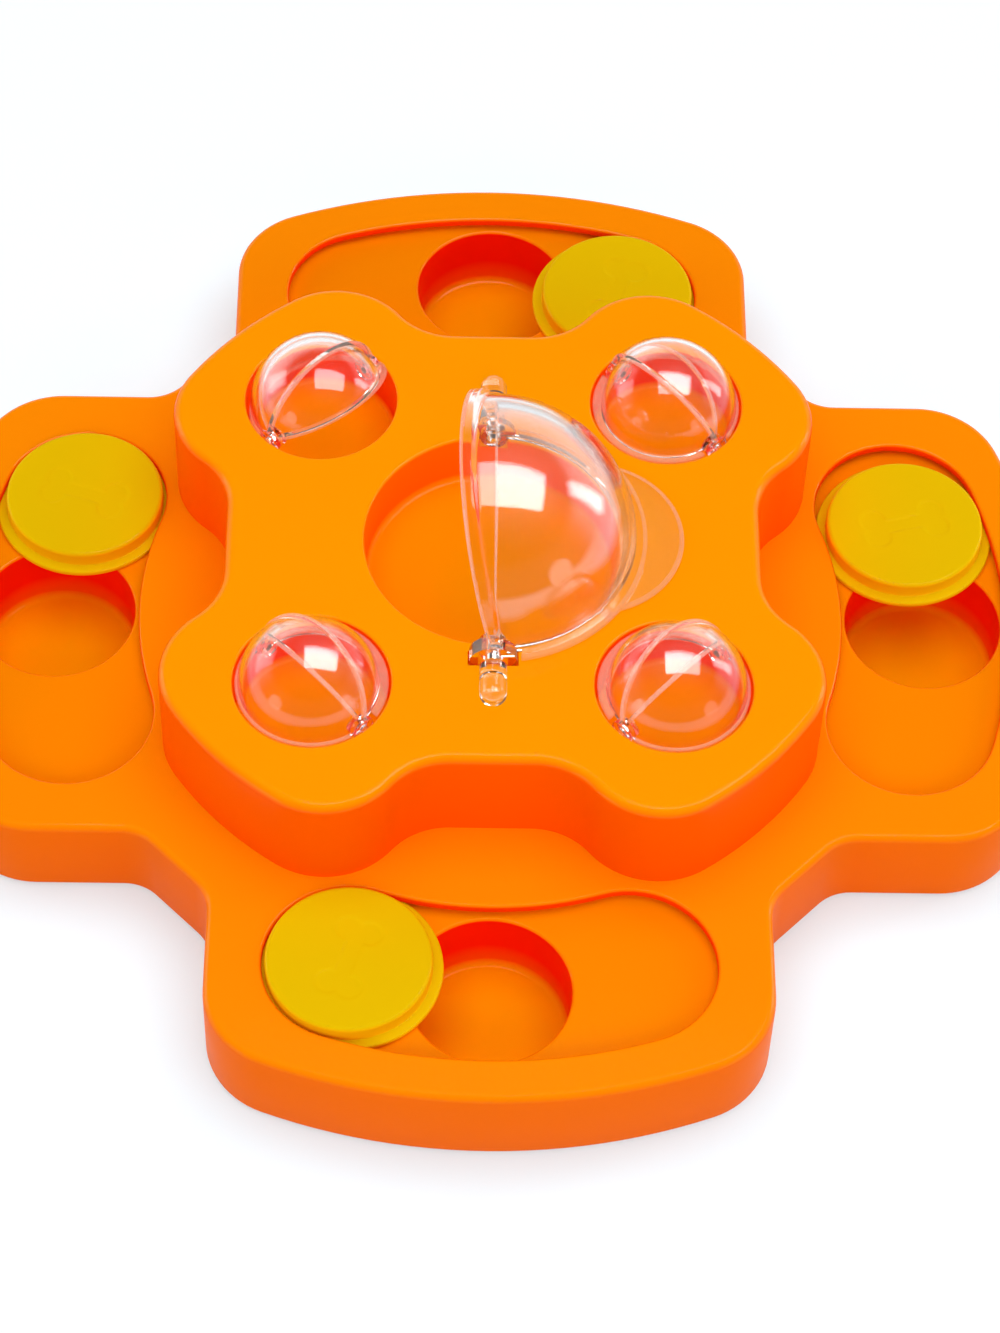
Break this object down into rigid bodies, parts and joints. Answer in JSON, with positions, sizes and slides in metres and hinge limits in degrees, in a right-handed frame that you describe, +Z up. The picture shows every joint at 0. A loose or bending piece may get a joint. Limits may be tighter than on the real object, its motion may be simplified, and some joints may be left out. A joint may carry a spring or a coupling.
{
  "type": "dog treat puzzle feeder toy",
  "caption": "Lobed treat puzzle board with sliding discs over wells, a raised clover platform, a central bowl and small pockets, all under clear turning dome lids.",
  "frame": {"origin": "on the surface the toy stands on, below the middle of its outline", "axes": "+Z up; +X to the right and -Y to the front, along two of the four lobes; the centre lid's hinge runs along Y"},
  "size_m": [0.3, 0.3, 0.0974],
  "materials": {
    "orange_plastic": "satin",
    "yellow_plastic": "satin",
    "clear_plastic": "gloss",
    "dark_rubber": "matt",
    "steel": "satin"
  },
  "bodies": {
    "base": {"base_cover": "orange_plastic", "base_tray": "orange_plastic", "platform_plate": "orange_plastic", "platform_wall": "orange_plastic", "platform_posts": "orange_plastic", "bowl_cup": "orange_plastic", "pocket_cup_back_right": "orange_plastic", "pocket_cup_back_left": "orange_plastic", "pocket_cup_front_left": "orange_plastic", "pocket_cup_front_right": "orange_plastic", "hinge_clip_front": "clear_plastic", "hinge_clip_back": "clear_plastic", "foot_front": "dark_rubber", "foot_right": "dark_rubber", "foot_back": "dark_rubber", "foot_left": "dark_rubber", "tray_screws": "steel", "platform_screws": "steel"},
    "slider_front": {"slider_front": "yellow_plastic"},
    "slider_right": {"slider_right": "yellow_plastic"},
    "slider_back": {"slider_back": "yellow_plastic"},
    "slider_left": {"slider_left": "yellow_plastic"},
    "centre_lid_outer": {"centre_lid_outer": "clear_plastic"},
    "centre_lid_inner": {"centre_lid_inner": "clear_plastic"},
    "lid_outer_back_right": {"lid_outer_back_right": "clear_plastic"},
    "lid_inner_back_right": {"lid_inner_back_right": "clear_plastic"},
    "lid_outer_back_left": {"lid_outer_back_left": "clear_plastic"},
    "lid_inner_back_left": {"lid_inner_back_left": "clear_plastic"},
    "lid_outer_front_left": {"lid_outer_front_left": "clear_plastic"},
    "lid_inner_front_left": {"lid_inner_front_left": "clear_plastic"},
    "lid_outer_front_right": {"lid_outer_front_right": "clear_plastic"},
    "lid_inner_front_right": {"lid_inner_front_right": "clear_plastic"}
  },
  "joints": [
    {"name": "slide_front", "type": "hinge", "parent": "base", "child": "slider_front", "pos_m": [0, 0, 0.025], "axis": [0, 0, 1], "range_deg": [0, 35.6]},
    {"name": "slide_right", "type": "hinge", "parent": "base", "child": "slider_right", "pos_m": [0, 0, 0.025], "axis": [0, 0, 1], "range_deg": [-32.3, 3.3]},
    {"name": "slide_back", "type": "hinge", "parent": "base", "child": "slider_back", "pos_m": [0, 0, 0.025], "axis": [0, 0, 1], "range_deg": [0, 35.6]},
    {"name": "slide_left", "type": "hinge", "parent": "base", "child": "slider_left", "pos_m": [0, 0, 0.025], "axis": [0, 0, 1], "range_deg": [0, 35.6]},
    {"name": "turn_centre_outer", "type": "hinge", "parent": "base", "child": "centre_lid_outer", "pos_m": [0, 0, 0.0588], "axis": [0, -1, 0], "range_deg": [0, 75]},
    {"name": "turn_centre_inner", "type": "hinge", "parent": "base", "child": "centre_lid_inner", "pos_m": [0, 0, 0.0588], "axis": [0, -1, 0], "range_deg": [0, 89]},
    {"name": "turn_outer_back_right", "type": "hinge", "parent": "base", "child": "lid_outer_back_right", "pos_m": [0.04617, 0.04617, 0.0565], "axis": [0.7071, -0.7071, 0], "range_deg": [0, 56]},
    {"name": "turn_inner_back_right", "type": "hinge", "parent": "base", "child": "lid_inner_back_right", "pos_m": [0.04617, 0.04617, 0.0565], "axis": [0.7071, -0.7071, 0], "range_deg": [-56, 16]},
    {"name": "turn_outer_back_left", "type": "hinge", "parent": "base", "child": "lid_outer_back_left", "pos_m": [-0.04617, 0.04617, 0.0565], "axis": [0.7071, 0.7071, 0], "range_deg": [0, 34]},
    {"name": "turn_inner_back_left", "type": "hinge", "parent": "base", "child": "lid_inner_back_left", "pos_m": [-0.04617, 0.04617, 0.0565], "axis": [0.7071, 0.7071, 0], "range_deg": [-18, 38]},
    {"name": "turn_outer_front_left", "type": "hinge", "parent": "base", "child": "lid_outer_front_left", "pos_m": [-0.04617, -0.04617, 0.0565], "axis": [-0.7071, 0.7071, 0], "range_deg": [0, 56]},
    {"name": "turn_inner_front_left", "type": "hinge", "parent": "base", "child": "lid_inner_front_left", "pos_m": [-0.04617, -0.04617, 0.0565], "axis": [-0.7071, 0.7071, 0], "range_deg": [-56, 16]},
    {"name": "turn_outer_front_right", "type": "hinge", "parent": "base", "child": "lid_outer_front_right", "pos_m": [0.04617, -0.04617, 0.0565], "axis": [-0.7071, -0.7071, 0], "range_deg": [0, 56]},
    {"name": "turn_inner_front_right", "type": "hinge", "parent": "base", "child": "lid_inner_front_right", "pos_m": [0.04617, -0.04617, 0.0565], "axis": [-0.7071, -0.7071, 0], "range_deg": [-56, 16]}
  ]
}
